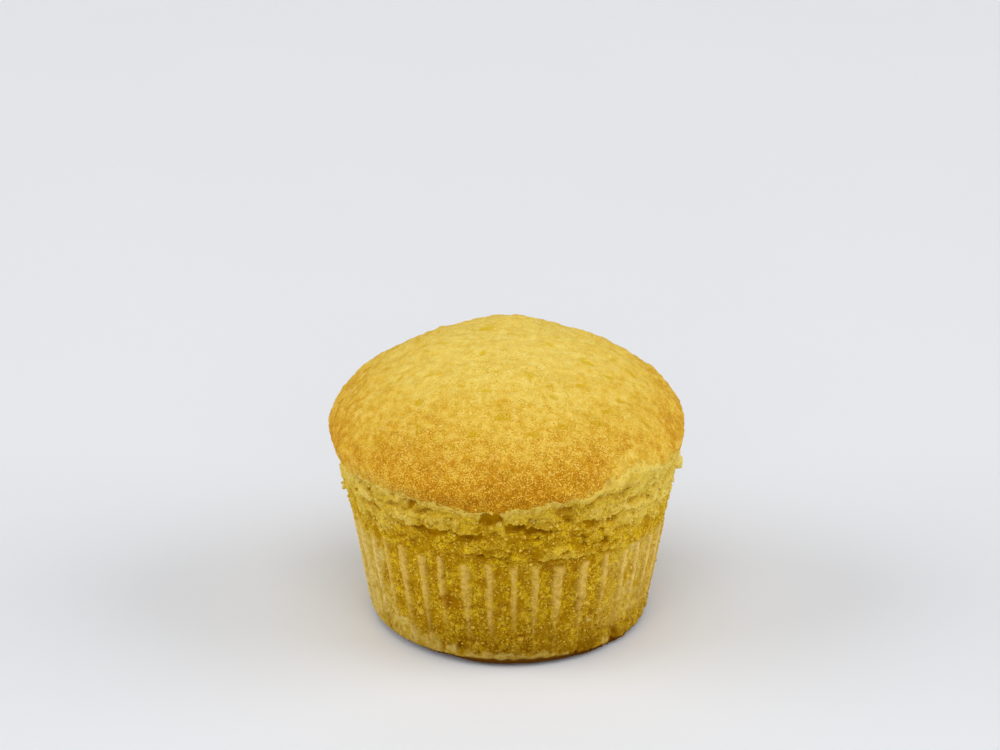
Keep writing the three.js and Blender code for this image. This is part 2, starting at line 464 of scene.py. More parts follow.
def crumb_relief(points):
    """Torn crumb: pebbles and swells of several sizes with warped outlines, smooth hollows and
    bubbles. Returns lumps, grain, hollows with pores, and how grainy each point is."""
    warp = np.stack([swell(points, 1.7, 30 + k) for k in range(3)], axis=1) * 0.6
    warp += np.stack([swell(points, 0.7, 24 + k) for k in range(3)], axis=1) * 0.25
    bent = (points + warp) * np.float32((1, 1, 1.25))
    flat = np.float32((1, 1, 1.5))
    lumps = 0.9 * pebbles(bent * flat, 3.6, 33) + 0.35 * pebbles(bent, 1.7, 39)
    lumps += 0.35 * swell(points, 5.0, 36, (1, 1, 1.6)) + 0.25 * swell(bent, 1.7, 40)
    grainy = ease(-0.35, 0.3, swell(points, 2.6, 151) + 0.5 * swell(bent, 1.1, 152))
    grain = 0.3 * pebbles(bent, 1.0, 34) + 0.25 * pebbles(bent, 0.62, 35) + 0.2 * swell(bent, 0.7, 28)
    grain = grain * (0.5 + 0.5 * grainy)
    pores = 0.7 * ease(0.12, 0.6, swell(bent, 2.7, 29, (1, 1, 1.4)))
    pores += 0.7 * bubbles(bent, 2.2, 37, 0.12, 0.25, 0.6)
    return lumps, grain, pores, grainy


# ---- crust

# Shallow pits in the crust: x and y from the middle, half length, half width, turn, depth
PITS = (
    (-4.5, -4.8, 1.3, 0.6, 60, 0.35), (-26.3, -1.6, 1.9, 0.45, 35, 0.3),
    (-16.1, -22.0, 1.2, 0.6, 70, 0.35), (-16.0, -16.1, 1.0, 0.7, 0, 0.25),
    (-0.8, -23.0, 2.2, 0.6, 5, 0.35), (14.9, -4.9, 1.7, 1.1, -10, 0.35),
    (18.8, -7.0, 1.2, 0.9, 0, 0.25), (23.5, -1.9, 1.1, 0.8, 0, 0.3),
    (21.1, -12.4, 1.1, 0.8, 40, 0.25), (25.9, -14.4, 0.9, 0.8, 0, 0.3),
    (10.7, -23.5, 1.7, 0.5, 15, 0.3), (4.9, -26.0, 1.3, 0.6, 0, 0.3),
    (-6.2, -25.7, 1.4, 0.6, 0, 0.3), (-23.2, -20.0, 1.4, 0.5, 80, 0.35),
    (-14.5, -9.5, 1.5, 0.6, 10, 0.25), (-8.5, -14.5, 1.2, 0.5, -15, 0.25),
    (4.0, -12.5, 1.8, 1.3, 0, 0.2), (-3.5, -17.0, 1.6, 0.7, 5, 0.25),
    (8.5, -17.5, 1.2, 0.5, -20, 0.25), (13.5, -13.0, 1.4, 0.6, 30, 0.3),
    (-10.5, -27.0, 1.3, 0.5, 0, 0.3), (16.5, -20.5, 1.5, 0.6, 25, 0.3),
    (8.0, -0.5, 1.3, 0.7, -30, 0.2), (-20.0, -7.0, 1.1, 0.6, 50, 0.25),
    (-12.0, 1.5, 1.2, 0.5, 0, 0.2), (-4.0, 6.7, 2.0, 1.2, 20, 0.35),
    (9.0, 20.0, 1.8, 0.7, 30, 0.4), (-15.0, 12.0, 1.3, 0.8, 60, 0.35),
    (-8.0, 25.0, 1.6, 0.6, -20, 0.4), (20.0, 15.0, 1.4, 0.7, 120, 0.35),
)


def crust_pits(points):
    """Shallow oval pits with frayed rims, and between them small ones scattered at random, which are
    deeper towards the flanks."""
    fray = 0.3 * swell(points, 1.3, 81) + 0.25 * swell(points, 0.6, 82)
    depth = nothing(points)
    x = points[:, 0] - AXIS_X - CROWN_SHIFT_X
    y = points[:, 1] - AXIS_Y
    for pit_x, pit_y, half_length, half_width, turn, deep in PITS:
        c = math.cos(math.radians(turn))
        s = math.sin(math.radians(turn))
        along = ((x - pit_x) * c + (y - pit_y) * s) / half_length
        across = ((y - pit_y) * c - (x - pit_x) * s) / half_width
        depth = np.maximum(depth, deep * ease(1.2, 0.3, np.hypot(along, across) + fray))
    scatter = bubbles(points * np.float32((0.7, 1, 1)), 3.1, 83, 0.45, 0.25, 0.6) * 0.5
    return np.maximum(depth, scatter * (0.8 + 0.4 * ease(14, 26, np.hypot(x, y))))


def crust_relief(points, height):
    """Baked crust: slow swells, finer unevenness, and sandy grain that grows towards the lip."""
    low = ease(52, 38, height)
    relief = 0.35 * swell(points, 13.0, 103) + 0.3 * swell(points, 5.0, 104)
    relief += 0.26 * swell(points, 2.4, 105, (1, 1.5, 1)) + 0.18 * swell(points, 1.2, 106, (1, 1.5, 1))
    relief += (0.06 + 0.07 * low) * (pebbles(points, 0.75, 102) + 0.8 * swell(points, 0.6, 101))
    return relief


# ---- the whole surface


def torn_relief(base, turn, above_edge, aside, in_band):
    """How far torn crumb stands out, and how grainy it is. Lumps count most in the band, less just
    under the crust, and least on the skirt, where grain counts more."""
    lumps, grain, pores, grainy = crumb_relief(base)
    under_crust = 1 - 0.3 * ease(-1.2, 0.0, above_edge)
    rough = np.clip(0.95 - 0.15 * aside + 0.5 * swell(base, 6.0, 153), 0.4, 1.4)
    crumb = lumps * rough * (0.2 + 0.8 * in_band) * under_crust + grain * (1.4 - 0.5 * in_band)
    crumb -= pores * (0.3 + 0.6 * in_band)
    crumb += knobs(base, turn, base[:, 2])
    return crumb, grainy


def crust_layers(turn, height, above_edge, pits):
    """For the crust: where it is, how browned, from the top down to the lip but less along the flanks'
    torn edge, with painted light that lightens the flanks, how sandy, which sets how strongly the
    grain's painted shade and glints show, and where its pits are."""
    flank = ease(35, 60, np.abs(turn)) * ease(130, 105, np.abs(turn))
    browning = below_top(height)
    browning = browning - 0.4 * ease(12, 45, np.abs(turn)) * ease(3.5, 0.2, above_edge)
    return {
        "crust": ease(-1.2, 1.0, above_edge),
        # Less browning on the flanks: painted light
        "browning": browning - flank * (0.06 + 0.36 * np.clip(browning - 0.4, 0, 1)),
        "sand": (0.9 + 1.5 * np.clip(browning / 0.6 - 0.5, 0, 1)) * (1 - 0.6 * flank),
        "pit": 0.9 * ease(0.0, 0.13, pits),
    }


def crumb_layers(base, turn, above_edge, crust, torn, aside, depth):
    """For the crumb: painted light along the crust's torn edge, where the lip shades it, the pale crumb
    high up, which reaches lower at the sides, painted shade in the hollows, and painted light on the
    tips, which shows more on the right."""
    right = ease(15, 45, turn) * ease(110, 85, turn)
    pale_from = 29 - 6 * aside
    pale = ease(pale_from, pale_from + 5, base[:, 2] + 1.5 * swell(base, 3.0, 131))
    return {
        # Painted light under the crust's lip, where the lip shades the crumb
        "rim": (0.8 - 0.16 * right) * ease(-2.6, -0.4, above_edge) * (1 - crust),
        "pale": pale * torn * (0.5 + 0.4 * aside + 0.1 * right),
        # Painted shade in the hollows and painted light on the tips
        "hollow": ease(0.15, -0.9, depth) * torn * (1 - 0.3 * aside - 0.3 * right),
        "tip": (0.75 + 0.25 * right) * ease(0.1 - 0.2 * right, 1.0 - 0.2 * right, depth) * torn,
    }


def foot_layers(base, height, kept, aside, left_foot):
    """For the skirt: how much darker it gets towards the bottom, partly browning and partly painted
    shade near the floor, fading upwards, and the dark strip round the edge of the base, partly browning
    and partly painted shadow where the foot meets the floor.
    """
    toast = np.exp(-np.clip(height - 2, 0, None) / 7) * (1 - 0.35 * aside) * (1 - 0.4 * kept)
    return {
        "toast": np.clip(toast * (1 + 0.35 * swell(base, 4.5, 141)), 0, 1),
        "baked": ease(2.15, 1.6, height + 0.5 * swell(base, 1.6, 121) + 0.6 * aside + 0.6 * left_foot),
    }


def surface(angle, along):
    """The muffin's outside: the plain surface moved outwards by the relief of whatever lies there,
    crust, crumb or skin. Returns its points, and for each of them the numbers that finishes read."""
    base, outward, height = plain_surface(angle, along)
    level = base[:, 2]
    turn = from_front(angle)
    aside = ease(20, 55, np.abs(turn))
    in_band = ease(SKIRT_TOP - 1.0, SKIRT_TOP + 3.0, height)
    left_foot = ease(-12, -26, turn) * ease(-150, -110, turn)

    crust, above_edge = crust_cover(base, turn, level)
    skirt = ease(0.4, -0.4, height - ridge_top(angle) - 0.4)
    ridge = flute_ridges(base, turn, angle, height)
    kept = kept_skin(base, turn, height) * skirt
    amber, dug = marks(base, turn, height)
    skin = np.maximum(ridge, kept) * (1 - 0.9 * amber) * (1 - ease(0.1, 0.5, dug))
    torn = (1 - skin) * (1 - crust)

    crumb, grainy = torn_relief(base, turn, above_edge, aside, in_band)
    layer, curl = ledges(base, turn, level)
    hole = holes(base, turn, level) * (1 - crust)
    soft = 0.05 * swell(base, 2.4, 61) + 0.03 * swell(base, 0.8, 62, (1, 1, 3))
    pits = 0.6 * crust_pits(base) * ease(SHOULDER_HEIGHT - 7, SHOULDER_HEIGHT - 3, height)
    dome = crust_relief(base, height) - pits

    out = torn * crumb + skin * soft + crust * (dome + 0.12)
    out += (1 - crust) * layer * ease(SKIRT_TOP - 2, SKIRT_TOP + 1, height) - hole
    out += RIDGE_RISE * ridge
    out -= VALLEY_DROP * (skirt - np.maximum(ridge, 0.2 * kept)) * ease(0.6, 3.2, height)
    out -= 0.3 * amber + dug
    points = base + outward * out[:, None]
    points[:, 2] -= 0.35 * curl * (1 - crust) * ease(SKIRT_TOP, SKIRT_TOP + 2, height)
    lift = FOOT_LIFT + LEFT_FOOT_LIFT * left_foot
    points[:, 2] = np.maximum(points[:, 2], 0) + lift * ease(2.8, 0.3, height)

    depth = (torn * crumb + (1 - crust) * layer - hole) * (2.2 - 1.2 * in_band)
    layers = {"skin": skin, "ridge": ridge, "kept": kept, "amber": amber, "grainy": grainy}
    layers["hole"] = ease(0.2, 1.0, hole)
    layers.update(crust_layers(turn, height, above_edge, pits))
    layers.update(crumb_layers(base, turn, above_edge, crust, torn, aside, depth))
    layers.update(foot_layers(base, height, kept, aside, left_foot))
    return points, layers


# ---- grids

# The angles of a ring's points, starting at the front left, as the rim of the folded square does
RING_ANGLES = -0.75 * math.pi + np.arange(COLUMNS) * (2 * math.pi / COLUMNS)


# The dome's square grid: its points by row and column, its faces, and its border points in order,
# anticlockwise from the lower left corner
GRID = np.arange((DOME_CELLS + 1) ** 2).reshape(DOME_CELLS + 1, -1)
GRID_FACES = np.stack([GRID[:-1, :-1], GRID[:-1, 1:], GRID[1:, 1:], GRID[1:, :-1]], axis=2)
GRID_FACES = GRID_FACES.reshape(-1, 4)
GRID_RIM = np.concatenate([GRID[0, :-1], GRID[:-1, -1], GRID[-1, :0:-1], GRID[:0:-1, 0]])


def folded_grid():
    """The square folded into a disc: the larger coordinate becomes the distance from the middle, and
    the smaller one's share of it becomes the angle within its quarter."""
    side = np.linspace(-1, 1, DOME_CELLS + 1)
    across, up = np.meshgrid(side, side)
    steep = np.abs(up) > np.abs(across)
    major = np.where(steep, up, across)
    minor = np.where(steep, across, up)
    turn = np.divide(minor, major, out=np.zeros_like(minor), where=major != 0) * math.pi / 4
    turn = np.where(steep, math.pi / 2 - turn, turn)
    x = major * np.cos(turn)
    y = major * np.sin(turn)
    return np.hypot(x, y).ravel(), np.arctan2(y, x).ravel()


def ring_faces(rings):
    """Joins each ring of points to the next one, anticlockwise rings stacked from the bottom up."""
    low = rings[:-1]
    high = rings[1:]
    return np.stack([low, np.roll(low, -1, 1), np.roll(high, -1, 1), high], axis=2).reshape(-1, 4)


def strip_map(levels, folds, low, high):
    """A map for a grid of rings: the strip is cut into `folds` lengths laid one above the other from
    low to high with a small gap, and each ring's level gives its place."""
    gap = 0.006
    tall = (high - low) / folds
    length = COLUMNS // folds
    column = np.tile(np.arange(COLUMNS), len(levels) - 1)
    row = np.repeat(np.arange(len(levels) - 1), COLUMNS)
    fold = column // length
    left = column % length / length
    right = (column % length + 1) / length
    level = (levels - levels[0]) / (levels[-1] - levels[0])
    across = np.stack([left, right, right, left], axis=1) * (1 - 2 * gap) + gap
    up = np.stack([level[row], level[row], level[row + 1], level[row + 1]], axis=1)
    up = low + tall * fold[:, None] + gap / 2 + up * (tall - gap)
    return np.stack([across, up], axis=2)


def fan_map(place, reach):
    """A round patch of the map for a fan, about `reach` across, with its middle at `place`."""
    turn = np.arange(COLUMNS + 1) * (2 * math.pi / COLUMNS)
    ring = np.array(place) + reach / 2 * np.stack([np.cos(turn), np.sin(turn)], axis=1)
    return np.stack([ring[:-1], ring[1:], np.tile(place, (COLUMNS, 1))], axis=1)


# ---- pieces

# The bake maps lie in the unit square, and their numbers below are shares of its side.


def new_object(name, data):
    """An object with this data in the scene."""
    item = bpy.data.objects.new(name, data)
    bpy.context.scene.collection.objects.link(item)
    return item


def make_piece(name, points, faces, maps, layers, material, creased=()):
    """Puts arrays into a mesh: faces of three or four corners with their map, one number per point
    for each layer, and smooth shading except along the creased rings."""
    corners = np.concatenate([group.reshape(-1) for group in faces]).astype(np.int32)
    sizes = np.concatenate([np.full(len(group), group.shape[1]) for group in faces])
    starts = np.concatenate([[0], np.cumsum(sizes)[:-1]]).astype(np.int32)
    mesh = bpy.data.meshes.new(name)
    mesh.vertices.add(len(points))
    mesh.vertices.foreach_set("co", (points * MM).astype(np.float32).ravel())
    mesh.loops.add(len(corners))
    mesh.loops.foreach_set("vertex_index", corners)
    mesh.polygons.add(len(sizes))
    mesh.polygons.foreach_set("loop_start", starts)
    mesh.update(calc_edges=True)
    mesh.shade_smooth()
    for layer, values in layers.items():
        attribute = mesh.attributes.new(layer, "FLOAT", "POINT")
        attribute.data.foreach_set("value", values.astype(np.float32))
    bake_map = mesh.uv_layers.new(name="OFBake")
    flat_maps = np.concatenate([group.reshape(-1, 2) for group in maps])
    bake_map.data.foreach_set("uv", flat_maps.astype(np.float32).ravel())
    if len(creased):
        ends = np.empty(len(mesh.edges) * 2, dtype=np.int32)
        mesh.edges.foreach_get("vertices", ends)
        marked = np.zeros(len(points), dtype=bool)
        marked[np.concatenate(creased)] = True
        sharp = mesh.attributes.new("sharp_edge", "BOOLEAN", "EDGE")
        sharp.data.foreach_set("value", marked[ends.reshape(-1, 2)].all(axis=1))
    mesh.materials.append(material)
    piece = new_object(name, mesh)
    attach(piece, "root")
    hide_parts("muffin")


def extend(layers, after, before=0):
    """The same layers with zeros for points that come after and before."""
    return {name: np.pad(values, (before, after)) for name, values in layers.items()}


def fan_faces(ring, middle, upward):
    """Joins a ring to a middle point with triangles that face up or down."""
    following = np.roll(ring, -1)
    ends = (ring, following) if upward else (following, ring)
    return np.stack([*ends, np.full(len(ring), middle)], axis=1)


def pulled_in(ring_points, share, lift):
    """A ring drawn towards the axis, and lifted."""
    middle = np.array([AXIS_X, AXIS_Y, 0])
    moved = middle + (ring_points - middle) * (share, share, 1)
    moved[:, 2] = moved[:, 2].mean() + lift
    return moved


def make_crown(material):
    """The dome as a folded grid, then rings over the shoulder to the upper seam, closed flat inside."""
    reach, disc_angle = folded_grid()
    shoulder_start = along_at(SHOULDER_HEIGHT)
    rows = np.linspace(shoulder_start, along_at(UPPER_SEAM), SHOULDER_ROWS + 1)[1:]
    angle = np.concatenate([disc_angle, np.tile(RING_ANGLES, SHOULDER_ROWS)])
    along = np.concatenate([ARC_END - reach * (ARC_END - shoulder_start), np.repeat(rows, COLUMNS)])
    points, layers = surface(angle, along)
    shoulder = len(disc_angle) + np.arange(SHOULDER_ROWS * COLUMNS).reshape(-1, COLUMNS)
    rings = np.concatenate([GRID_RIM[None], shoulder])[::-1]
    count = len(points)
    inside = pulled_in(points[rings[0]], 0.88, 1.0)
    inner_ring = count + np.arange(COLUMNS)
    cap = np.array([[AXIS_X, AXIS_Y, inside[0, 2]]])
    all_points = np.concatenate([points, inside, cap])

    step = np.linspace(0.004, 0.746, DOME_CELLS + 1)
    dome_grid = np.stack(np.meshgrid(step, step + 0.25), axis=2).reshape(-1, 2)
    levels = np.concatenate([[shoulder_start], rows])[::-1]
    shoulder_map = strip_map(levels, 2, 0.0, 0.245)
    inner_map = strip_map(np.arange(2.0), 1, 0.25, 0.3) * (0.2, 1) + (0.78, 0)
    faces = [
        GRID_FACES,
        ring_faces(rings),
        ring_faces(np.stack([inner_ring, rings[0]])),
        fan_faces(inner_ring, count + COLUMNS, False),
    ]
    maps = [dome_grid[GRID_FACES], shoulder_map, inner_map, fan_map((0.87, 0.45), 0.2)]
    layers = extend(layers, COLUMNS + 1)
    make_piece("crown", all_points, faces, maps, layers, material, [rings[0]])


def make_collar(material):
    """The torn band as rings between the two seams, closed by an inner wall."""
    rows = np.linspace(along_at(LOWER_SEAM), along_at(UPPER_SEAM), BAND_ROWS + 1)
    points, layers = surface(np.tile(RING_ANGLES, BAND_ROWS + 1), np.repeat(rows, COLUMNS))
    count = len(points)
    inner_top = pulled_in(points[-COLUMNS:], 0.84, -0.8)
    inner_bottom = pulled_in(points[:COLUMNS], 0.84, 0.8)
    rings = np.arange(count + 2 * COLUMNS).reshape(-1, COLUMNS)
    loop = np.concatenate([rings, rings[:1]])
    levels = np.concatenate([np.linspace(0, 1, BAND_ROWS + 1), (1.04, 1.08, 1.12)])
    maps = strip_map(levels, 4, 0.0, 1.0)
    all_points = np.concatenate([points, inner_top, inner_bottom])
    layers = extend(layers, 2 * COLUMNS)
    creased = [rings[0], rings[BAND_ROWS]]
    faces = [ring_faces(loop)]
    make_piece("collar", all_points, faces, [maps], layers, material, creased)


def make_skirt(material):
    """The skirt, from the middle of the base round the foot to the lower seam, closed flat inside."""
    foot = np.linspace(0, along_at(FOOT_HEIGHT), FOOT_ROWS + 1)
    wall = np.linspace(along_at(FOOT_HEIGHT), along_at(LOWER_SEAM), SKIRT_ROWS + 1)[1:]
    along = np.concatenate([foot, wall])
    points, layers = surface(np.tile(RING_ANGLES, len(along)), np.repeat(along, COLUMNS))

    # The base: rings inwards, with soft dimples that rise from the floor
    base_points = []
    for share in (0.35, 0.6, 0.8, 0.93):
        ring = pulled_in(points[:COLUMNS], share, 0)
        ring[:, 2] = 0.25 * ease(-0.1, 0.8, swell(ring, 5.0, 111))
        base_points.append(ring)
    before = len(base_points) * COLUMNS
    inside = pulled_in(points[-COLUMNS:], 0.86, -0.8)
    middles = np.array([[AXIS_X, AXIS_Y, 0.0], [AXIS_X, AXIS_Y, inside[0, 2]]])
    all_points = np.concatenate([*base_points, points, inside, middles])
    rings = np.arange(len(all_points) - 2).reshape(-1, COLUMNS)
    end = len(all_points)
    caps = [fan_faces(rings[0], end - 2, False), fan_faces(rings[-1], end - 1, True)]
    faces = [ring_faces(rings), *caps]
    levels = np.concatenate([(-0.16, -0.12, -0.08, -0.04), np.linspace(0, 1, len(rings) - 4)])
    maps = [strip_map(levels, 3, 0.0, 0.9)] + [fan_map((x, 0.95), 0.08) for x in (0.05, 0.15)]
    layers = extend(layers, COLUMNS + 2, before)
    # The base's underside gets the dark strip's colour: browning with painted shadow
    layers["baked"][:before] = 1
    make_piece("skirt", all_points, faces, maps, layers, material, [rings[-2]])


# ---- clinging crumbs


def scattered_places():
    """Random angles and places along the outline, bits for a crumb's form, and a chance to be kept."""
    number = np.arange(CRUMB_TRIES)
    bits = mix_bits(number, number * 7, number * 13, 201)
    more = mix_bits(number, number * 5, number * 11, 202)
    angle = share_of(bits, 0) * 2 * math.pi + share_of(more, 0) * 2 * math.pi / 1023
    share = share_of(bits, 11) + share_of(more, 11) / 1023
    height = CRUMBS_FROM + (CRUMBS_TO - CRUMBS_FROM) * share
    return angle, along_at(height), more, share_of(bits, 21)


def unit_ball():
    """Rings of longitude by latitude from the bottom up, then the bottom and the top."""
    longitude = np.arange(CRUMB_COLUMNS) * 2 * math.pi / CRUMB_COLUMNS
    latitude = (np.arange(CRUMB_RINGS) + 1) * math.pi / (CRUMB_RINGS + 1) - math.pi / 2
    flat = np.cos(latitude)[:, None]
    x = (flat * np.cos(longitude)).ravel()
    y = (flat * np.sin(longitude)).ravel()
    z = np.repeat(np.sin(latitude), CRUMB_COLUMNS)
    return np.concatenate([np.stack([x, y, z], axis=1), [[0, 0, -1], [0, 0, 1]]])


def make_crumbs(material):
    """Small crumbs that cling to the torn parts: little balls, squashed, turned and dented at random,
    and half sunk in the surface."""
    angle, along, bits, chance = scattered_places()
    points, layers = surface(angle, along)
    torn = (1 - layers["skin"]) * (1 - layers["crust"]) * (1 - layers["hole"])
    kept = chance < torn * 0.5 + 0.012 * layers["ridge"]
    middles = points[kept]
    bits = bits[kept]
    count = len(middles)
    size = 0.17 + 0.25 * share_of(bits, 0) ** 3 + 0.25 * ease(0.98, 1.0, share_of(bits, 0))
    ball = unit_ball()
    per = len(ball)
    spin = share_of(bits, 10) * 2 * math.pi
    squash = 0.6 + 0.4 * share_of(bits, 20)
    x = ball[:, 0] * np.cos(spin)[:, None] - ball[:, 1] * np.sin(spin)[:, None]
    y = ball[:, 0] * np.sin(spin)[:, None] + ball[:, 1] * np.cos(spin)[:, None]
    z = ball[:, 2] * squash[:, None]
    reach = np.stack([x, y, z], axis=2) * size[:, None, None]
    round_points = (middles[:, None] + reach).reshape(-1, 3)
    dent = 1 + 0.7 * swell(round_points, 0.3, 203).reshape(count, per, 1)
    all_points = (middles[:, None] + reach * dent).reshape(-1, 3)

    rings = np.arange(CRUMB_RINGS * CRUMB_COLUMNS).reshape(CRUMB_RINGS, CRUMB_COLUMNS)
    caps = [fan_faces(rings[0], per - 2, False), fan_faces(rings[-1], per - 1, True)]
    groups = [ring_faces(rings), *caps]
    shift = (np.arange(count) * per)[:, None, None]
    faces = [(group[None] + shift).reshape(-1, group.shape[1]) for group in groups]
    across = math.ceil(math.sqrt(count))
    cell = np.stack([np.arange(count) % across, np.arange(count) // across], axis=1) / across
    round_ball = np.arctan2(ball[:, 1], ball[:, 0]) / (2 * math.pi) + 0.5
    own = np.stack([round_ball, ball[:, 2] / 2 + 0.5], axis=1) * 0.9 / across + 0.05 / across
    maps = [(cell[:, None, None] + own[group]).reshape(-1, group.shape[1], 2) for group in groups]
    layers = {
        "light": np.repeat(share_of(bits, 5), per),
        "pale": np.repeat(layers["pale"][kept], per),
        "toast": np.repeat(layers["toast"][kept], per),
    }
    make_piece("clinging_crumbs", all_points, faces, maps, layers, material)


# ---- finishes

# The patterns' sizes are those of the real thing: grains of meal, clumps of crumb, wrinkles of paper.
# The finest real grains are smaller still, and are drawn at 0.3 mm, the least that shows.


def linear(code):
    """An sRGB hex colour as the linear numbers that shaders use."""
    values = [int(code[k:k + 2], 16) / 255 for k in (1, 3, 5)]
    return [v / 12.92 if v <= 0.04045 else ((v + 0.055) / 1.055) ** 2.4 for v in values] + [1.0]


def add(tree, kind, inputs, output=0, **settings):
    """Adds one node and returns one of its outputs. Settings are its own properties, and inputs are
    numbers, hex colours or other nodes' outputs."""
    node = tree.nodes.new("ShaderNode" + kind)
    for name, value in settings.items():
        setattr(node, name, value)
    for socket, value in inputs.items():
        if isinstance(value, bpy.types.NodeSocket):
            tree.links.new(value, node.inputs[socket])
        else:
            node.inputs[socket].default_value = linear(value) if isinstance(value, str) else value
    return node.outputs[output] if node.outputs else node


def new_material(name):
    """An empty material, its node tree, and the place on the object, in metres."""
    material = bpy.data.materials.new(name)
    material.use_nodes = True
    tree = material.node_tree
    tree.nodes.clear()
    return material, tree, add(tree, "TexCoord", {}, "Object")


def read_layers(tree, names):
    """The numbers that the mesh holds for each point under these names."""
    return [add(tree, "Attribute", {}, "Fac", attribute_name=name) for name in names.split()]


def pattern(tree, place, size, detail=2.0, coarse=0.5, low=0.0, high=1.0, to_low=0.0, to_high=1.0):
    """Cloudy noise with lumps about `size` across, and finer ones as strong as `coarse`, fed through a
    map that turns low into to_low and high into to_high."""
    inputs = {"Vector": place, "Scale": 1 / (size * MM), "Detail": detail, "Roughness": coarse}
    cloud = add(tree, "TexNoise", inputs)
    return add(tree, "MapRange", {0: cloud, 1: low, 2: high, 3: to_low, 4: to_high})


def paint(tree, colour, *coats, how="MIX"):
    """Lays coats over a colour in turn, or multiplies it by them. Each is its cover, from 0 to 1, and
    its colour."""
    for cover, coat in coats:
        inputs = {0: cover, 6: colour, 7: coat}
        colour = add(tree, "Mix", inputs, 2, data_type="RGBA", blend_type=how)
    return colour


def finish_matt(tree, colour, roughness, height, strength, level, glow=0.2, fuzz=0.0):
    """A matt surface: bumps a fifth of a millimetre high at full strength, little gloss (`level`),
    light that passes through the outermost crumb, red farthest (`glow`), and a faint `fuzz`."""
    bump = add(tree, "Bump", {"Strength": strength, "Distance": 0.2 * MM, "Height": height})
    shader = add(
        tree, "BsdfPrincipled",
        {
            "Base Color": colour, "Roughness": roughness, "Normal": bump, "IOR": 1.4,
            "Specular IOR Level": level, "Subsurface Weight": glow, "Subsurface Scale": 0.6 * MM,
            "Subsurface Radius": (1.0, 0.6, 0.12), "Sheen Weight": fuzz, "Sheen Roughness": 0.5,
            "Sheen Tint": "#FFE6B0",
        },
    )
    add(tree, "OutputMaterial", {"Surface": shader})


def sandy(tree, place):
    """The grain of corn meal: grains a third of a millimetre wide, from 0 in the gaps to 1 on the
    tops, and how strongly they show, since they lie in clusters."""
    grains = pattern(tree, place, 0.3, 3.0, 0.65)
    clusters = pattern(tree, place, 1.3, 2.0, 0.6, 0.4, 0.6, 0.3, 1.0)
    return grains, clusters


def grain_colour(tree, colour, grains, strong, pale, deep):
    """Light grain tops and dark gaps over a colour: partly the meal's own grain, partly painted shade
    in the gaps and painted glints on the tops. `strong` says how much they show.
    """
    tops = add(tree, "MapRange", {0: grains, 1: 0.51, 2: 0.65, 4: strong})
    gaps = add(tree, "MapRange", {0: grains, 1: 0.48, 2: 0.34, 4: strong})
    return paint(tree, colour, (tops, pale), (gaps, deep))


def crumb_colour(tree, place, grains, clusters):
    """Corn crumb: light yellow clumps over golden brown ground, with painted shade in hollows and
    holes, painted light on the tips and along the crust's torn edge, and lighter high up, where it is
    also less grainy."""
    pale, grainy, tip, hollow, rim, hole = read_layers(tree, "pale grainy tip hollow rim hole")
    patches = pattern(tree, place, 3.0, 2.0, 0.6, 0.35, 0.65, -0.2, 0.2)
    clumps = pattern(tree, place, 0.9, 2.0, 0.6, 0.42, 0.58)
    tone = add(tree, "Math", {0: clumps, 1: grainy, 2: patches}, operation="MULTIPLY_ADD")
    ground = paint(tree, "#B08200", (tone, "#E2BC12"))
    pale_cover = add(tree, "Math", {0: pale, 1: patches}, operation="ADD")
    pale_cover = add(tree, "MapRange", {0: pale_cover, 4: 0.85})
    pale_tone = paint(tree, "#D8AC10", (pale, "#E0C24C"))
    tip_light_tone = paint(tree, "#EACA4C", (pale, "#F0D878"))
    rim_light_tone = paint(tree, "#F6D254", (pale, "#F0D874"))
    # Painted shade in the hollows, painted light on the tips and under the crust's lip
    colour = paint(tree, ground, (pale_cover, pale_tone), (tip, tip_light_tone), (hollow, "#AA7602"))
    colour = paint(tree, colour, (rim, rim_light_tone))
    strong = add(tree, "MapRange", {0: grainy, 3: 0.45, 4: 0.98})
    smooth = add(tree, "MapRange", {0: pale, 3: 1.0, 4: 0.9})
    for share in (clusters, smooth):
        strong = add(tree, "Math", {0: strong, 1: share}, operation="MULTIPLY")
    colour = grain_colour(tree, colour, grains, strong, "#F6D64C", "#906200")
    # Painted shade inside the holes
    return paint(tree, colour, (hole, "#B88602"))


# The crust's colour as it browns, from the top of the crown (0) to the lip (1)
CRUST_COLOURS = (
    (0.0, "#EED064"), (0.35, "#E4B938"), (0.66, "#CA8C0A"), (0.88, "#C07E04"), (1.0, "#B47200"),
)


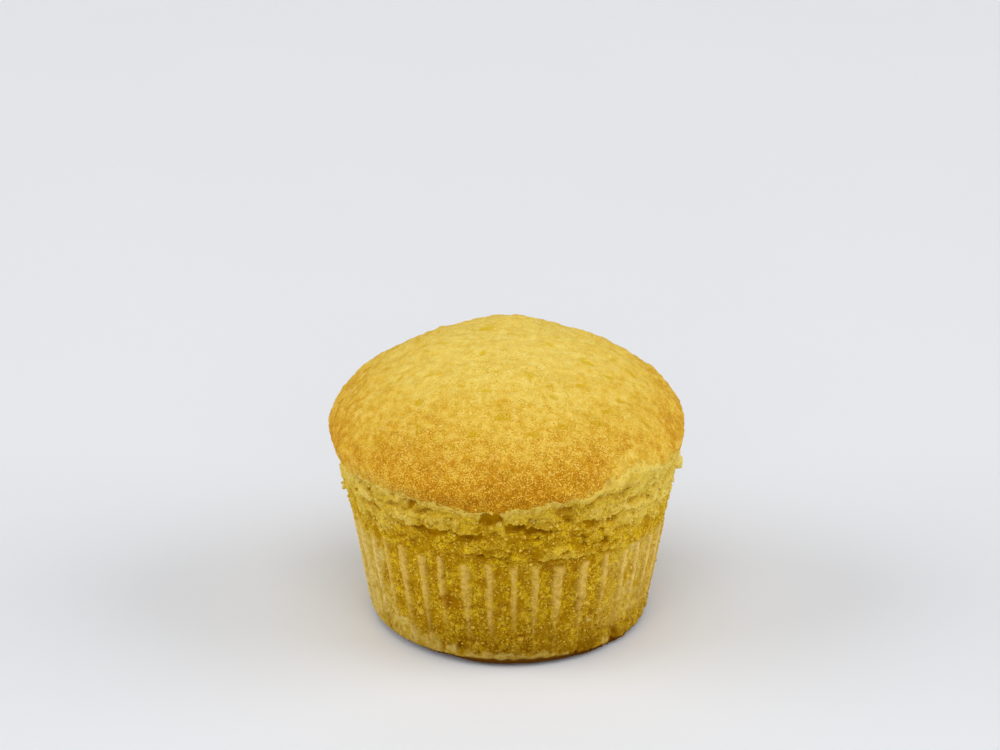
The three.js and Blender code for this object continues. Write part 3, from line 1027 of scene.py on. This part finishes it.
def baked_crust():
    """Browned muffin crust, dry and sandy: the eye gets fine bright grain over a colour that runs from
    pale corn yellow on top to golden brown near the torn edge, where the crumb shows, and deeper
    yellow in the pits."""
    material, tree, place = new_material("Baked golden crust")
    browning, pit, sandiness, crust = read_layers(tree, "browning pit sand crust")
    browned = browning
    for size, detail, coarse, swing in ((6.0, 2.0, 0.5, 0.12), (1.5, 4.0, 0.7, 0.26)):
        patches = pattern(tree, place, size, detail, coarse, 0.3, 0.7, -swing, swing)
        browned = add(tree, "Math", {0: browned, 1: patches}, operation="ADD")
    colour = add(tree, "ValToRGB", {"Fac": browned})
    ramp = colour.node.color_ramp
    ramp.interpolation = "B_SPLINE"
    while len(ramp.elements) < len(CRUST_COLOURS):
        ramp.elements.new(0.5)
    for element, (position, code) in zip(ramp.elements, CRUST_COLOURS):
        element.position = position
        element.color = linear(code)
    pale = paint(tree, "#F8E688", (browning, "#EAB222"))
    deep = paint(tree, "#D0A628", (browning, "#9C6202"))
    pit_tone = paint(tree, "#DCB614", (browning, "#B88404"))
    # Moved aside, so that the flakes don't follow the other patterns
    elsewhere = add(tree, "Mapping", {"Vector": place, "Location": (0.07, 0.03, 0.11)})
    flakes = pattern(tree, elsewhere, 2.0, 4.0, 0.7)
    light_flakes = add(tree, "MapRange", {0: flakes, 1: 0.54, 2: 0.62, 4: 0.45})
    dark_flakes = add(tree, "MapRange", {0: flakes, 1: 0.46, 2: 0.38, 4: 0.4})
    colour = paint(tree, colour, (light_flakes, pale), (dark_flakes, deep), (pit, pit_tone))
    grains, clusters = sandy(tree, place)
    strong = add(tree, "Math", {0: clusters, 1: sandiness}, operation="MULTIPLY")
    colour = grain_colour(tree, colour, grains, strong, pale, deep)
    crumb = crumb_colour(tree, place, grains, clusters)
    ragged = pattern(tree, place, 0.7, 3.0, 0.7, 0.3, 0.7, -0.45, 0.45)
    ragged = add(tree, "Math", {0: crust, 1: ragged}, operation="ADD")
    ragged = add(tree, "MapRange", {0: ragged, 1: 0.35, 2: 0.65})
    finish_matt(tree, paint(tree, crumb, (ragged, colour)), 0.8, grains, 1.0, 0.04, fuzz=0.06)
    return material


def torn_crumb(name):
    """Corn crumb and the skin that a paper case leaves on it: the eye gets matt golden crumb with
    light grains, and pale, smoother, faintly wrinkled skin along the flutes, darker lower down, partly
    browning and partly painted shade, with a dark strip of browning and painted shadow round the base."""
    material, tree, place = new_material(name)
    skin, ridge, kept, amber, toast, baked = read_layers(tree, "skin ridge kept amber toast baked")
    grains, clusters = sandy(tree, place)
    crumb = crumb_colour(tree, place, grains, clusters)
    mottled = pattern(tree, place, 4.0, 3.0, 0.6, 0.4, 0.6)
    skin_tone = paint(tree, "#BC9C30", (mottled, "#DCC470"))
    skin_tone = paint(tree, skin_tone, (ridge, paint(tree, "#DCB658", (kept, "#ECCE80"))))
    stretched = add(tree, "Mapping", {"Vector": place, "Scale": (0.75, 0.75, 1.5)})
    wrinkles = pattern(tree, stretched, 0.6, 3.0, 0.7)
    skin_tone = grain_colour(tree, skin_tone, wrinkles, 0.5, "#EACC78", "#B48A1C")
    worn = pattern(tree, place, 0.9, 3.0, 0.7, 0.35, 0.6, 0.5, 1.0)
    cover = add(tree, "Math", {0: skin, 1: worn}, operation="MULTIPLY")
    colour = paint(tree, crumb, (cover, skin_tone), (amber, "#A87204"))
    # Darker towards the bottom: partly browning, partly painted shade near the floor
    colour = paint(tree, colour, (toast, "#B5A661"), how="MULTIPLY")
    # Dark strip round the edge of the base: partly browning, partly painted shadow at the floor
    colour = paint(tree, colour, (baked, "#5E3602"))
    roughness = add(tree, "MapRange", {0: skin, 3: 0.85, 4: 0.65})
    height = add(tree, "Mix", {0: skin, 2: grains, 3: wrinkles})
    finish_matt(tree, colour, roughness, height, 0.9, 0.02)
    return material


def loose_crumb():
    """Single crumbs, a little drier and lighter than the crumb that they cling to."""
    material, tree, place = new_material("Dry loose crumbs")
    light, pale, toast = read_layers(tree, "light pale toast")
    colour = paint(tree, "#CEA218", (light, "#E6C040"), (pale, "#E4C85C"))
    grains, clusters = sandy(tree, place)
    colour = grain_colour(tree, colour, grains, clusters, "#F4D460", "#A0740A")
    # Darker towards the bottom, as on the skirt: partly browning, partly painted shade
    colour = paint(tree, colour, (toast, "#BCAD7C"), how="MULTIPLY")
    finish_matt(tree, colour, 0.85, grains, 0.5, 0.04)
    return material


def pale_board():
    """A matt white table top: the eye gets a clean pale ground with a soft contact shadow."""
    material, tree, place = new_material("Matt white table top")
    colour = paint(tree, "#E8EAEE", (pattern(tree, place, 60.0), "#EAECF0"))
    finish_matt(tree, colour, 0.6, pattern(tree, place, 1.0), 0.02, 0.2, 0.0)
    return material


# ---- studio


def make_floor(material):
    """A square that reaches this many metres out on every side."""
    reach = 30.0
    corners = [(-reach, -reach, 0), (reach, -reach, 0), (reach, reach, 0), (-reach, reach, 0)]
    mesh = bpy.data.meshes.new("floor")
    mesh.from_pydata(corners, [], [(0, 1, 2, 3)])
    mesh.materials.append(material)
    new_object("floor", mesh)


def make_light(name, kind, energy, place, settings):
    """A light that looks along its own -Z from its place at the lit point."""
    light = bpy.data.lights.new(name, kind)
    light.energy = energy
    for key, value in settings.items():
        setattr(light, key, value)
    item = new_object(name, light)
    item.location = place
    x, y, z = (LIT_POINT[k] - place[k] for k in range(3))
    item.rotation_euler = (math.atan2(math.hypot(x, y), -z), 0, math.atan2(y, x) - math.pi / 2)


def make_studio():
    """A plain world, seen by the camera as a pale backdrop and dimmer to all else, and the lights."""
    world = bpy.data.worlds.new("Studio")
    bpy.context.scene.world = world
    world.use_nodes = True
    tree = world.node_tree
    tree.nodes.clear()
    camera_ray = add(tree, "LightPath", {}, "Is Camera Ray")
    fill = add(tree, "Background", {"Color": "#FFFFFF", "Strength": 0.32})
    seen = add(tree, "Background", {"Color": "#E4E4E4", "Strength": 1.0})
    both = add(tree, "MixShader", {0: camera_ray, 1: fill, 2: seen})
    add(tree, "OutputWorld", {"Surface": both})
    for light in LIGHTS:
        make_light(*light)


def make_camera():
    """Looks down at the muffin by about 23 degrees from the front through a long lens."""
    camera_data = bpy.data.cameras.new("camera")
    camera_data.sensor_width = 36
    camera_data.lens = CAMERA_LENS
    camera_data.clip_end = 100
    camera = new_object("camera", camera_data)
    x, y, z = CAMERA_PLACE
    camera.location = (AXIS_X * MM + x, AXIS_Y * MM + y, z)
    camera.rotation_euler = (math.pi / 2 - CAMERA_TILT, 0, 0)
    bpy.context.scene.camera = camera


# ---- build

bpy.context.scene.view_settings.view_transform = "Standard"
make_crown(baked_crust())
make_collar(torn_crumb("Torn corn crumb"))
make_skirt(torn_crumb("Pleat-pressed skin over crumb"))
make_crumbs(loose_crumb())
make_floor(pale_board())
make_studio()
make_camera()
